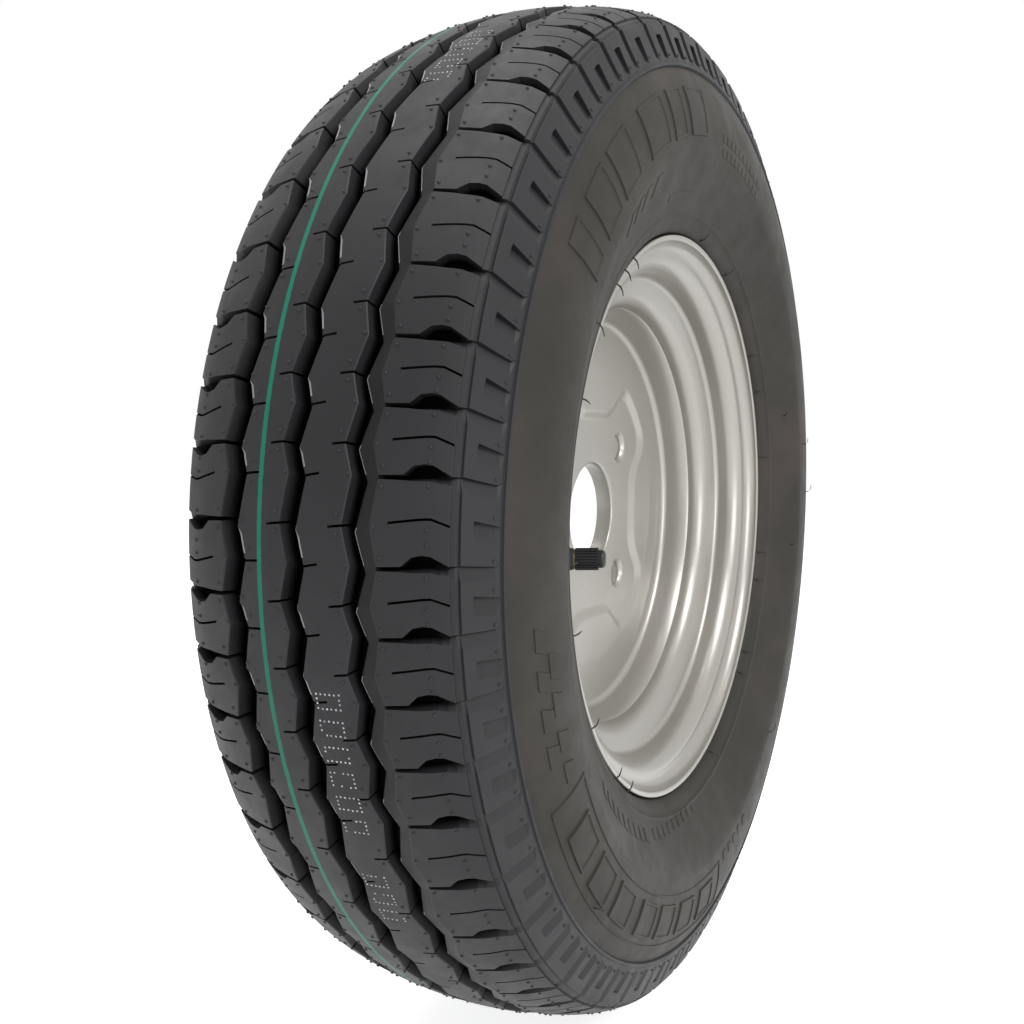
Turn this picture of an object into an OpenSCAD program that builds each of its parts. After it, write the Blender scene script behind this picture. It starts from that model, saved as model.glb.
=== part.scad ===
// Small road trailer wheel: pressed steel wheel, block-tread tyre, snap-in valve.
// Millimetres. Origin at the wheel's centre, spin axis along Y, outboard side towards -Y, Z up.
// Inside the modules the wheel stands on its own axis: z is outboard, x and y are radial.
// Profiles are lists of [radius, distance outboard of the wheel's centre plane].

/* [Tyre] */
// Height of the tyre from the bead seats to the crown of the tread
section_h = 119.4;  // [117:0.2:122]
// Width across the sidewalls where they are widest
section_w = 140.8;  // [138:0.2:144]
// Height above the bead seats at which the sidewalls are widest
widest_h = 58.4;  // [56:0.2:61]
// Radius across the middle of the tread
crown_r = 175;  // [170:1:200]
// Width of the tread's middle part, which has that radius
crown_w = 82;  // [78:1:86]
// Smaller radius across the tread on both sides of the middle part
shoulder_r = 54.3;  // [52:0.1:58]
// Width of the tread from shoulder corner to shoulder corner
tread_w = 114.4;  // [112:0.2:116]
// How far the shoulder band falls towards the hub from the corner
band_fall = 19.7;  // [18.5:0.1:21]
// How far the shoulder band spreads sideways on the way down
band_spread = 7.1;  // [6.5:0.1:8]
// Depth of the three zigzag grooves
groove_depth = 7;  // [5:0.1:7.6]
// Width of the inboard groove at the tread surface
inboard_groove_w = 9;  // [7:0.1:10]
// Width of the middle groove at the tread surface
middle_groove_w = 7;  // [5:0.1:8]
// Width of the outboard groove at the foot of its bevel
outboard_groove_w = 4.85;  // [4:0.05:6]
// How far the zigzags swing from side to side
zigzag_swing = 3.3;  // [2:0.1:4]
// Lean of the groove walls over the full depth
groove_draft = 1.2;  // [0.4:0.1:1.6]
// Width of the bevel between the outboard groove and its shoulder rib
bevel_w = 5.25;  // [3:0.05:6.5]
// Depth at which that bevel meets the groove
bevel_depth = 1.5;  // [1:0.1:2.5]
// Depth of the slots through both shoulders
slot_depth = 5.2;  // [3:0.1:5.6]
// Angle by which the slot floors rise towards the shoulder corner
slot_rise = 3.5;  // [2:0.5:5]
// Width of the thin slits in the ribs
slit_w = 0.8;  // [0.6:0.1:1.2]
// Depth of the thin slits in the ribs
slit_depth = 4.5;  // [2:0.1:5.5]
// Thickness of the tread between a groove's floor and the air
under_tread = 6.5;  // [5:0.1:9]

/* [Rim] */
// Diameter of the bead seats where they meet the flanges
seat_d = 253.2;  // [252:0.1:254.4]
// Width between the two flanges
rim_inner_w = 84.5;  // [83:0.1:86]
// Thickness of the rolled rim sheet
rim_t = 2.6;  // [2.2:0.1:3]
// Depth of the well's inside, which the disc's flange seats in, below the bead seats
well_drop = 19.1;  // [18:0.1:20]
// Width of the well between its two walls, on the open side
well_w = 51;  // [49:0.2:53]
// Lean of the well's walls from the radial direction
wall_lean = 17;  // [12:0.5:20]
// Taper of the bead seats
seat_taper = 5;  // [4:0.5:6]
// Bend radius at the foot of the well's walls, on the tyre's side
well_bend = 6;  // [5:0.5:8]
// Bend radius at the head of the well's walls, on the tyre's side
hump_bend = 6;  // [5:0.5:7]
// Bend radius of the tyre's heel against the flange
heel_bend = 6.5;  // [5.5:0.1:7]
// Radius of the curled flange, on the tyre's side
flange_curl = 9;  // [8.5:0.1:9.5]
// Height of the flanges above the bead seats
flange_h = 14.3;  // [13.8:0.1:14.8]

/* [Wheel centre] */
// Thickness of the pressed disc
disc_t = 3.5;  // [3:0.1:4]
// Distance from the wheel's centre plane outboard to the hub pad's outer face
pad_face = 0.9;  // [0:0.1:3]
// How far the outer ring and the four bosses stand above the hub pad
press_step = 2.2;  // [1.5:0.1:3]
// Sideways run of the slanted wall around the pad
press_run = 3;  // [2:0.1:4]
// Width of the raised ring between the pad's slanted wall and the bend at its edge
ring_w = 18;  // [16:0.5:20]
// Length of each boss along the radius, at its top
boss_len = 25;  // [22:0.5:27]
// Width of each boss at its inner end, at its top
boss_w = 38;  // [30:1:42]
// How far each side of a boss spreads per millimetre outwards
boss_spread = 1.27;  // [1:0.01:1.4]
// How far the ring falls back between the pad's wall and the bend
ring_fall = 1.1;  // [0.5:0.1:1.5]
// Inner radius of the bend between the ring and the flange in the well
disc_bend = 7;  // [5:0.5:9]
// Distance from the centre plane to the flange's outboard edge
disc_edge = 17.8;  // [15:0.1:18.6]
// Diameter of the hub bore
bore_d = 54;  // [50:0.5:58]
// Rounding of the bore's outboard edge
bore_round = 1.5;  // [0.5:0.1:2]
// Wall thickness of the collar turned inboard around the bore
collar_t = 3;  // [2.5:0.1:3.5]
// Length of the collar inboard of the pad's back face
collar_len = 5.7;  // [3:0.1:8]
// Diameter of the circle through the bolt holes
bolt_circle_d = 100;  // [98:0.5:102]
// Diameter of the bolt holes
bolt_hole_d = 13.2;  // [12:0.1:14]
// Diameter of the conical nut seats at the pad's face
nut_seat_d = 17;  // [15.5:0.1:18]
// Depth of the conical nut seats
nut_seat_depth = 1.9;  // [1:0.1:2.4]
// Number of weld stitches between the disc and the well
weld_count = 8;  // [4:1:12]
// Arc covered by each weld stitch, in degrees
weld_arc = 14;  // [8:1:20]

/* [Valve] */
// Position of the valve around the rim, in degrees
valve_at = 186;  // [0:1:359]
// Height at which the valve's axis passes through the well's wall, above the well's inside
valve_h = 7;  // [6:0.1:8.5]
// Diameter of the valve hole in the rim
valve_hole_d = 11.5;  // [11:0.1:12]
// Diameter of the rubber head inside the tyre
head_d = 17;  // [15:0.1:18]
// Height of the rubber head, measured from the middle of the hole
head_h = 8;  // [6:0.1:9]
// Diameter of the rubber shoulder on the outside of the rim
shoulder_d = 15;  // [14:0.1:16]
// Diameter of the rubber just above its shoulder
rubber_d = 12;  // [11.6:0.1:13]
// Diameter of the rubber at its outer end
rubber_tip_d = 9.2;  // [9:0.1:9.6]
// Length of the rubber outside the rim
rubber_len = 14.5;  // [12:0.1:15]
// Diameter of the brass stem inside the rubber
stem_d = 6;  // [5.6:0.1:6.4]
// Outer diameter of the stem's thread
thread_d = 7.7;  // [7.6:0.05:7.8]
// Pitch of the stem's thread
thread_pitch = 0.794;  // [0.7:0.001:0.9]
// Length of the stem beyond the rubber
thread_len = 9.4;  // [9:0.1:9.6]
// Diameter of the air passage through the stem
passage_d = 2.5;  // [2:0.1:3]
// Diameter of the bore that the core hangs in
core_bore_d = 4.1;  // [4:0.05:4.3]
// Diameter of the threaded mouth that takes the core's head
core_mouth_d = 5.3;  // [5.2:0.05:5.5]
// Running clearance on each side, core head in the mouth and cap on the thread
running_gap = 0.08;  // [0.02:0.01:0.1]
// Diameter of the core's pin
pin_d = 1;  // [0.8:0.05:1.2]
// How far the core's pin can be pressed in
pin_travel = 1.5;  // [1:0.1:2]
// Diameter of the spring's wire
wire_d = 0.3;  // [0.2:0.02:0.4]
// Number of turns of the spring
spring_turns = 5;  // [4:1:7]
// Outer diameter over the cap's ribs
cap_d = 9.6;  // [9.4:0.1:10.4]
// Depth of the grooves between the cap's ribs
rib_depth = 0.45;  // [0.2:0.05:0.5]
// Number of ribs around the cap
cap_ribs = 24;  // [16:1:32]
// Length of the ribbed part of the cap
cap_len = 9.8;  // [9:0.1:11]
// Diameter of the cap's domed top
dome_d = 7.7;  // [7:0.1:8.4]
// Height of the cap's domed top
dome_h = 3;  // [2.6:0.1:3.4]
// Thickness of the sealing disc inside the cap
seal_t = 1;  // [0.6:0.1:1.2]

/* [Hidden] */
$fn = 96;

// Lists of profile points
function back(l) = [for (i = [len(l) - 1:-1:0]) l[i]];
function mirrored(l) = [for (p = l) [p[0], -p[1]]];
function arc(c, r, a0, a1, n) =
    [for (i = [0:n]) let (a = a0 + (a1 - a0) * i / n) c + r * [cos(a), sin(a)]];

// A rolled sheet is a path of straight runs and bends. A run's angle is its climb away from the axis.
function run(a) = [sin(a), cos(a)];
function side_of(a) = [cos(a), -sin(a)];
function crossing(p, a, q, b) =
    p + run(a) * cross(q - p, run(b)) / cross(run(a), run(b));
// A bend holds its sharp corner, radius, angles before and after, and steps. A negative radius turns inwards.
function bend_centre(b) = b[0] - b[1] * tan((b[3] - b[2]) / 2) * run(b[2]) + b[1] * side_of(b[2]);
function bend(b, under) =
    [for (i = [0:b[4]]) let (a = b[2] + (b[3] - b[2]) * i / b[4])
        bend_centre(b) + (b[1] + under) * [-cos(a), sin(a)]];

// Rim, as the tyre-side surface of the outboard half
wall_climb = 90 - wall_lean;
seat_r = seat_d / 2;
well_r = seat_r - well_drop;
well_corner = [well_r + rim_t, well_w / 2 - rim_t * tan(wall_climb / 2)];
seat_corner = [seat_r, rim_inner_w / 2];
hump_corner = crossing(well_corner, wall_climb, seat_corner, seat_taper);
curl_end = -5;
curl_corner = [seat_r + flange_h - flange_curl + flange_curl * tan((90 - curl_end) / 2), rim_inner_w / 2];
well_foot = [well_corner, well_bend, 0, wall_climb, 5];
well_head = [hump_corner, -hump_bend, wall_climb, seat_taper, 5];
heel = [seat_corner, heel_bend, seat_taper, 90, 5];
curl = [curl_corner, -flange_curl, 90, curl_end, 8];
rim_bends = [well_foot, well_head, heel, curl];
function rim_side(under) = [for (b = rim_bends) for (p = bend(b, under)) p];
rim_tyre_side = rim_side(0);
rim_open_side = rim_side(rim_t);

// Tyre section
tyre_r = seat_r + section_h;
widest_r = seat_r + widest_h;
half_tread = tread_w / 2;
half_crown = crown_w / 2;
crown_lean = asin(half_crown / crown_r);
shoulder_hub = [tyre_r - crown_r, 0] + (crown_r - shoulder_r) * [cos(crown_lean), sin(crown_lean)];
// Radius of the tread's surface and its lean, at a distance from the centre plane
function crown(w) = abs(w) < half_crown ? tyre_r - crown_r + sqrt(crown_r * crown_r - w * w)
    : shoulder_hub[0] + sqrt(shoulder_r * shoulder_r - pow(abs(w) - shoulder_hub[1], 2));
function lean(w) = sign(w) * (abs(w) < half_crown ? asin(abs(w) / crown_r)
    : asin((abs(w) - shoulder_hub[1]) / shoulder_r));
shoulder = [crown(half_tread), half_tread];
band_len = norm([band_fall, band_spread]);
band_dir = [-band_fall, band_spread] / band_len;
band_out = [band_spread, band_fall] / band_len;
// A point on the shoulder band, t down from the shoulder corner and d proud of it
function on_band(t, d = 0) = shoulder + t * band_dir + d * band_out;
// A recessed strip runs along the shoulder corner, from the tread blocks' edge to the band
recess = 0.9;
ridge = 0.5;
block_edge = half_tread - 1.9;
band_profile = [[crown(block_edge + 0.1) - recess, block_edge + 0.1], on_band(0, -recess),
    on_band(1.7, -recess), on_band(1.9), on_band(band_len - 3.2), on_band(band_len - 2.9, -1),
    on_band(band_len - 1.8, -1), on_band(band_len - 1.5, ridge), on_band(band_len - 0.6, ridge),
    on_band(band_len + 0.2, -recess)];
upper_wall_r = 66;
lower_wall_r = 62;
sidewall = concat(
    arc([widest_r, section_w / 2 - upper_wall_r], upper_wall_r, 67, 90, 7),
    arc([widest_r, section_w / 2 - lower_wall_r], lower_wall_r, 93, 122, 7));
// The bead follows the rim's own points from part of the way up the curl to the end of the seat
bead_touch = 5;
flange_gap = 2.3;
bead = concat(
    [[seat_r + flange_h + flange_gap, rim_inner_w / 2 + flange_curl + 2.5]],
    back([for (i = [0:bead_touch]) bend(curl, 0)[i]]),
    back(bend(heel, 0)),
    [bend(well_head, 0)[5]]);
// Left edges of the three grooves at the corners that point inboard
groove_left = [-33.6, -5.2, 19.6];
inside_grooves = [groove_left[0] + 6, groove_left[1] + 5, groove_left[2] + 5];
crown_points = [for (w = concat([-block_edge, -(block_edge + half_crown) / 2, -half_crown], inside_grooves,
    [half_crown, (block_edge + half_crown) / 2, block_edge])) [crown(w), w]];
wall_points = concat(band_profile, sidewall, bead);
casing_r = tyre_r - groove_depth - under_tread;
toe_gap = 1.9;
air_side = [[seat_r + toe_gap, rim_inner_w / 2 - 10.3], [seat_r + 11.4, rim_inner_w / 2 - 3.4],
    [seat_r + 24.3, section_w / 2 - 17], [widest_r - 20, section_w / 2 - 9.1],
    [widest_r, section_w / 2 - 5.6], [widest_r + 20, section_w / 2 - 9.6],
    [shoulder[0] - 9.5, half_tread - 7], [casing_r - 2.5, 35], [casing_r - 0.5, 18]];

// Tread pitches of three lengths, shuffled, going round from the first one
pitch_kinds = [5.55, 6.25, 7.05];
pitch_order = [2, 2, 3, 3, 3, 2, 1, 1, 3, 1, 1, 1, 1, 3, 3, 2, 2, 1, 1, 2, 3, 2, 1, 1, 2, 3, 3, 1, 2,
    1, 2, 3, 2, 2, 1, 3, 1, 2, 1, 1, 3, 2, 1, 3, 2, 1, 2, 3, 1, 2, 3, 3, 2, 1, 1, 2, 3, 1];
pitches = len(pitch_order);
first_pitch = 122.7;
function sum_to(n) = n == 0 ? 0 : sum_to(n - 1) + pitch_kinds[pitch_order[n - 1] - 1];
starts = [for (i = [0:pitches]) first_pitch + 360 * sum_to(i) / sum_to(pitches)];
// Corners of the zigzags: even ones point outboard, at a pitch's start, odd ones inboard, past its middle
inboard_share = 0.555;
corners = [for (k = [0:2 * pitches - 1]) let (i = floor(k / 2))
    starts[i] + (k % 2) * inboard_share * (starts[i + 1] - starts[i])];
lift = 2;

// Section of a groove as [distance outboard, radius], from its left and right edges at the surface
function groove_sec(left, right) =
    let (r = crown((left + right) / 2), k = groove_draft * lift / groove_depth)
    [[left - k, r + lift], [left + groove_draft, r - groove_depth],
        [right - groove_draft, r - groove_depth], [right + k, r + lift]];
// The same with a bevel on the outboard side
function bevel_sec(left, right) =
    let (r = crown((left + right) / 2), k = groove_draft * lift / groove_depth,
        top = right + bevel_w, fall = crown(top) - r + bevel_depth)
    [[left - k, r + lift], [left + groove_draft, r - groove_depth],
        [right - groove_draft, r - groove_depth], [right, r - bevel_depth],
        [top + bevel_w * lift / fall, crown(top) + lift]];

// Wheel centre
disc_turn = [well_r - disc_t - disc_bend, pad_face + press_step - ring_fall + disc_bend];
function disc_arc(r) = [for (i = [0:8]) let (a = -4 + 94 * i / 8) disc_turn + r * [sin(a), -cos(a)]];
disc_back = disc_arc(disc_bend + disc_t);
pad_back = pad_face - disc_t;
ring_r = disc_turn[0] - ring_w;
pad_r = ring_r - press_run;
boss_start = ring_r - boss_len;

// Valve, with z from the open side of the well's wall outwards along the valve
valve_r = well_r + valve_h;
valve_w = well_w / 2 + valve_h / tan(wall_climb);
stem_top = rubber_len + thread_len;
cap_foot = rubber_len + 0.4;
dome_foot = cap_foot + cap_len;
core_seat = stem_top - 7.5;
core_top = stem_top - 0.7;
barrel_foot = core_seat - 4.8;
chamber_foot = barrel_foot + 1.2;
chamber_top = core_seat + 2.6;
pin_collar_t = 0.4;
pin_foot = barrel_foot - pin_travel - 1.5;
spring_len = chamber_top - pin_collar_t - chamber_foot;
chamber_r = 1.45;
spring_r = 1.05;
barrel_r = core_bore_d / 2 - 0.15;
seal_r = 3.2;

// Ring of groove sections, one at each corner
module zigzag(in_sec, out_sec) {
    m = len(in_sec);
    n = len(corners);
    points = [for (k = [0:n - 1]) for (p = k % 2 == 0 ? out_sec : in_sec)
        [p[1] * cos(corners[k]), p[1] * sin(corners[k]), p[0]]];
    faces = [for (k = [0:n - 1]) for (j = [0:m - 1])
        let (k2 = (k + 1) % n, j2 = (j + 1) % m,
            a = k * m + j, b = k2 * m + j, c = k2 * m + j2, d = k * m + j2)
        for (f = [[a, b, c], [a, c, d]]) f];
    polyhedron(points = points, faces = faces);
}

module plain_groove(left, width) {
    zigzag(groove_sec(left, left + width),
        groove_sec(left + zigzag_swing, left + zigzag_swing + width));
}

module bevelled_groove(left, width) {
    zigzag(bevel_sec(left, left + width),
        bevel_sec(left + zigzag_swing, left + zigzag_swing + width));
}

// Frame on the tread: x outboard along it, y round the tyre, z out of it
module on_tread(a, w) {
    rotate([0, 0, a])
        translate([crown(w), 0, w])
            rotate([0, -lean(w), 0])
                rotate([180, -90, 0])
                    children();
}

// Plan of a shoulder slot: x outboard from its middle, which lies this far from the centre plane
slot_middle = 44.3;
slot_plan = [[-14, 0.7], [-3.5, 1.4], [3, 4.5], [6, 4], [16, 0.2], [16, -3.6], [6, -0.4], [-14, -0.6]];
module shoulder_slot() {
    rotate([0, -slot_rise, 0])
        translate([0, 0, -slot_depth])
            linear_extrude(slot_depth + lift)
                polygon(slot_plan);
}

module shoulder_slots(side) {
    first = side > 0 ? 0 : 1;
    for (k = [first:2:2 * pitches - 1])
        on_tread(corners[k], side * slot_middle)
            rotate([0, 0, side > 0 ? 0 : 180])
                shoulder_slot();
}

// Rows of slits: 0 at the outboard corners or 1 at the inboard ones, and where each slit begins and ends
slit_rows = [[0, groove_left[0] + zigzag_swing + inboard_groove_w - 1.1, -14.9],
    [0, groove_left[1] + zigzag_swing + middle_groove_w - 1.1, 10.6],
    [1, -10.5, groove_left[1] + 1.1], [1, 14.2, groove_left[2] + 1.1]];
module rib_slits() {
    for (row = slit_rows)
        for (k = [row[0]:2:2 * pitches - 1])
            on_tread(corners[k], (row[1] + row[2]) / 2)
                translate([0, 0, (lift - slit_depth) / 2])
                    cube([row[2] - row[1], slit_w, slit_depth + lift], center = true);
}

module tyre() {
    color([0.1, 0.1, 0.1])
        difference() {
            rotate_extrude()
                polygon(concat(crown_points, wall_points, air_side, [[casing_r, 0]],
                    back(mirrored(air_side)), back(mirrored(wall_points))));
            plain_groove(groove_left[0], inboard_groove_w);
            plain_groove(groove_left[1], middle_groove_w);
            bevelled_groove(groove_left[2], outboard_groove_w);
            shoulder_slots(1);
            shoulder_slots(-1);
            rib_slits();
        }
}

module valve_frame() {
    rotate([0, 0, valve_at])
        translate([valve_r, 0, valve_w])
            rotate([0, -wall_lean, 0])
                children();
}

module rim() {
    color([0.72, 0.7, 0.66])
        difference() {
            rotate_extrude()
                polygon(concat(back(mirrored(rim_tyre_side)), rim_tyre_side,
                    back(rim_open_side), mirrored(rim_open_side)));
            valve_frame()
                translate([0, 0, -head_h - 1])
                    cylinder(d = valve_hole_d, h = head_h + 8);
        }
}

// One boss between two levels, its walls leaning out towards its foot
module boss(foot) {
    a = boss_start - press_run;
    b = ring_r + 2;
    lean = press_run * norm([1, boss_spread]);
    top_a = boss_w / 2;
    top_b = top_a + boss_spread * (b - boss_start);
    low_a = top_a - boss_spread * press_run + lean;
    low_b = top_b + lean;
    intersection() {
        translate([0, 0, foot - 1])
            cylinder(r = ring_r, h = press_step + 2);
        polyhedron(points = [
            [a, -low_a, foot], [b, -low_b, foot], [b, low_b, foot], [a, low_a, foot],
            [boss_start, -top_a, foot + press_step], [b, -top_b, foot + press_step],
            [b, top_b, foot + press_step], [boss_start, top_a, foot + press_step]],
            faces = [[0, 1, 2, 3], [4, 7, 6, 5], [0, 4, 5, 1], [1, 5, 6, 2], [2, 6, 7, 3], [3, 7, 4, 0]]);
    }
}

// Inner radius of the small bend between the pad's back and the collar
collar_bend = 2;

module disc() {
    bore_r = bore_d / 2;
    ring_back = pad_back + press_step;
    color([0.7, 0.68, 0.64])
        difference() {
            union() {
                rotate_extrude()
                    polygon(concat(
                        [[bore_r, pad_back - collar_len], [bore_r, pad_face - bore_round]],
                        arc([bore_r + bore_round, pad_face - bore_round], bore_round, 157.5, 90, 3),
                        [[pad_r, pad_face], [ring_r, pad_face + press_step]],
                        disc_arc(disc_bend),
                        [[well_r - disc_t, disc_edge - 1], [well_r - disc_t + 1, disc_edge],
                            [well_r, disc_edge]],
                        back(disc_back),
                        [[ring_r, ring_back], [pad_r, pad_back]],
                        arc([bore_r + collar_t, pad_back] + collar_bend * [1, -1], collar_bend, 90, 180, 4),
                        [[bore_r + collar_t, pad_back - collar_len]]));
                for (a = [0, 90, 180, 270])
                    rotate([0, 0, a])
                        boss(pad_face);
            }
            for (a = [0, 90, 180, 270])
                rotate([0, 0, a])
                    boss(pad_back);
            for (a = [45, 135, 225, 315])
                rotate([0, 0, a])
                    translate([bolt_circle_d / 2, 0, 0]) {
                        translate([0, 0, pad_back - 1])
                            cylinder(d = bolt_hole_d, h = disc_t + 2, $fn = 48);
                        translate([0, 0, pad_face - nut_seat_depth])
                            cylinder(d1 = bolt_hole_d, d2 = nut_seat_d, h = nut_seat_depth, $fn = 48);
                    }
        }
}

// Stitches in the heel between the disc's bend and the well
module disc_welds() {
    heel_points = [for (i = [5:8]) disc_back[i]];
    color([0.6, 0.58, 0.55])
        for (i = [0:weld_count - 1])
            rotate([0, 0, 22.5 + i * 360 / weld_count - weld_arc / 2])
                rotate_extrude(angle = weld_arc)
                    polygon(concat(heel_points, [[well_r, heel_points[0][1] - 1.4],
                        [well_r - 0.9, heel_points[0][1] - 1]]));
}

// Stretch of the rim that the valve's rubber is shaped to, as distances from the centre plane
line_start = well_w / 2 - 18;
line_end = rim_inner_w / 2 - 2;

// Everything on the axis side of the rim's tyre-side surface near the valve
module inside_rim_line() {
    rotate_extrude()
        polygon(concat([[well_r - 15, line_start], [well_r + rim_t, line_start]], bend(well_foot, 0),
            bend(well_head, 0), [[seat_r, line_end], [well_r - 15, line_end]]));
}

// Everything on the tyre's side of the rim's open surface near the valve
module outside_rim_line() {
    rotate_extrude()
        polygon(concat([[seat_r + 10, line_start], [well_r, line_start]], bend(well_foot, rim_t),
            bend(well_head, rim_t), [[seat_r - rim_t, line_end], [seat_r + 10, line_end]]));
}

module valve_body() {
    color([0.09, 0.09, 0.09])
        difference() {
            union() {
                difference() {
                    valve_frame()
                        rotate_extrude($fn = 48)
                            polygon([[0, -head_h], [head_d / 2 - 1.5, -head_h], [head_d / 2, -head_h + 1.5],
                                [head_d / 2, 0], [0, 0]]);
                    inside_rim_line();
                }
                difference() {
                    valve_frame()
                        rotate_extrude($fn = 48)
                            polygon([[0, -6], [shoulder_d / 2, -6], [shoulder_d / 2, 2.2],
                                [shoulder_d / 2 - 0.8, 3], [0, 3]]);
                    outside_rim_line();
                }
                valve_frame()
                    rotate_extrude($fn = 48)
                        polygon([[0, -head_h + 2], [valve_hole_d / 2, -head_h + 2],
                            [valve_hole_d / 2, 3], [rubber_d / 2, 6],
                            [rubber_tip_d / 2, rubber_len - 0.5],
                            [rubber_tip_d / 2 - 0.4, rubber_len], [0, rubber_len]]);
            }
            valve_frame()
                translate([0, 0, -1])
                    cylinder(d = stem_d, h = rubber_len + 2, $fn = 48);
            valve_frame()
                translate([0, 0, -head_h - 1])
                    cylinder(d = passage_d + 0.6, h = head_h + 1, $fn = 48);
        }
}

module valve_stem() {
    r = thread_d / 2;
    rings = floor((thread_len - 2) / thread_pitch);
    first = rubber_len + 1.2;
    color([0.78, 0.62, 0.32])
        valve_frame()
            rotate_extrude($fn = 48)
                polygon(concat(
                    [[passage_d / 2, -1], [stem_d / 2, -1], [stem_d / 2, rubber_len], [r, rubber_len]],
                    [for (i = [0:rings - 1]) for (p = [[r, first + i * thread_pitch],
                        [r - 0.35, first + (i + 0.5) * thread_pitch]]) p],
                    [[r, first + rings * thread_pitch], [r - 0.4, stem_top], [core_mouth_d / 2, stem_top],
                        [core_mouth_d / 2, core_seat + 1.7], [core_bore_d / 2, core_seat],
                        [core_bore_d / 2, 8], [passage_d / 2, 8]]));
}

// Barrel of the core: hollow, its head open at the top, its foot guiding the pin
module valve_core_barrel() {
    head_r = core_mouth_d / 2 - running_gap;
    color([0.75, 0.6, 0.3])
        valve_frame()
            rotate_extrude($fn = 32)
                polygon([[pin_d / 2 + running_gap, barrel_foot], [barrel_r, barrel_foot],
                    [barrel_r, chamber_top - 0.5], [head_r, chamber_top], [head_r, core_top],
                    [chamber_r, core_top], [chamber_r, chamber_foot],
                    [pin_d / 2 + running_gap, chamber_foot]]);
}

module valve_core_gasket() {
    color([0.75, 0.2, 0.15])
        valve_frame()
            rotate_extrude($fn = 32)
                polygon([[barrel_r, core_seat], [core_bore_d / 2, core_seat],
                    [core_mouth_d / 2, core_seat + 1.7], [barrel_r, core_seat + 1.7]]);
}

// Pin with the collar that the spring pushes against
module valve_core_pin() {
    color([0.8, 0.65, 0.35])
        valve_frame()
            rotate_extrude($fn = 32)
                polygon([[0, pin_foot], [pin_d / 2, pin_foot],
                    [pin_d / 2, chamber_top - pin_collar_t], [chamber_r - 0.15, chamber_top - pin_collar_t],
                    [chamber_r - 0.15, chamber_top], [pin_d / 2, chamber_top],
                    [pin_d / 2, stem_top - 0.6], [pin_d / 2 - 0.2, stem_top - 0.4], [0, stem_top - 0.4]]);
}

// Soft seal fixed on the pin, closing the barrel's foot
module valve_core_seal() {
    color([0.12, 0.12, 0.12])
        valve_frame()
            rotate_extrude($fn = 32)
                polygon([[pin_d / 2, barrel_foot - 1.5], [1.3, barrel_foot - 1.5],
                    [1.7, barrel_foot - 1.1], [1.7, barrel_foot], [pin_d / 2, barrel_foot]]);
}

// Coil of round wire between the barrel's floor and the pin's collar
module valve_core_spring() {
    sides = 8;
    steps = spring_turns * 12;
    rise = spring_len - wire_d;
    points = [for (i = [0:steps]) for (j = [0:sides - 1])
        let (a = 30 * i, b = 360 * j / sides, r = spring_r + wire_d / 2 * cos(b))
        [r * cos(a), r * sin(a), chamber_foot + wire_d / 2 + rise * i / steps + wire_d / 2 * sin(b)]];
    walls = [for (i = [0:steps - 1]) for (j = [0:sides - 1])
        let (a = i * sides + j, b = i * sides + (j + 1) % sides)
        for (f = [[a, b, b + sides], [a, b + sides, a + sides]]) f];
    color([0.7, 0.7, 0.72])
        valve_frame()
            polyhedron(points = points, faces = concat([[for (j = [sides - 1:-1:0]) j]], walls,
                [[for (j = [0:sides - 1]) steps * sides + j]]));
}

module valve_cap() {
    r = cap_d / 2;
    low = r - rib_depth;
    top = dome_foot + dome_h;
    rib_points = [[-0.3, r], [0.3, r], [0.4, low], [0.6, low]];
    color([0.05, 0.05, 0.05])
        valve_frame()
            difference() {
                union() {
                    translate([0, 0, cap_foot])
                        linear_extrude(cap_len)
                            polygon([for (i = [0:cap_ribs - 1]) for (p = rib_points)
                                let (a = (i + p[0]) * 360 / cap_ribs) p[1] * [cos(a), sin(a)]]);
                    rotate_extrude($fn = 48)
                        polygon([[0, dome_foot - 1], [dome_d / 2, dome_foot - 1], [dome_d / 2, top - 1.2],
                            [dome_d / 2 - 0.4, top - 0.4], [dome_d / 2 - 1.2, top], [0, top]]);
                }
                translate([0, 0, cap_foot - 1])
                    cylinder(r = thread_d / 2 + running_gap, h = stem_top - cap_foot + 1, $fn = 48);
                translate([0, 0, stem_top - 1])
                    cylinder(r = seal_r + running_gap, h = 1 + seal_t, $fn = 48);
            }
}

module cap_seal() {
    color([0.15, 0.15, 0.15])
        valve_frame()
            translate([0, 0, stem_top])
                cylinder(r = seal_r, h = seal_t, $fn = 48);
}

module place() {
    rotate([90, 0, 0])
        children();
}

place() tyre();
place() rim();
place() disc();
place() disc_welds();
place() valve_body();
place() valve_stem();
place() valve_core_barrel();
place() valve_core_gasket();
place() valve_core_pin();
place() valve_core_spring();
place() valve_core_seal();
place() valve_cap();
place() cap_seal();
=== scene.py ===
# Pressed steel trailer wheel with a block-tread tyre: the looks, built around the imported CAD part.
import math
import random

import bmesh
import bpy
import numpy as np
from mathutils import Matrix, Vector


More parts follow.
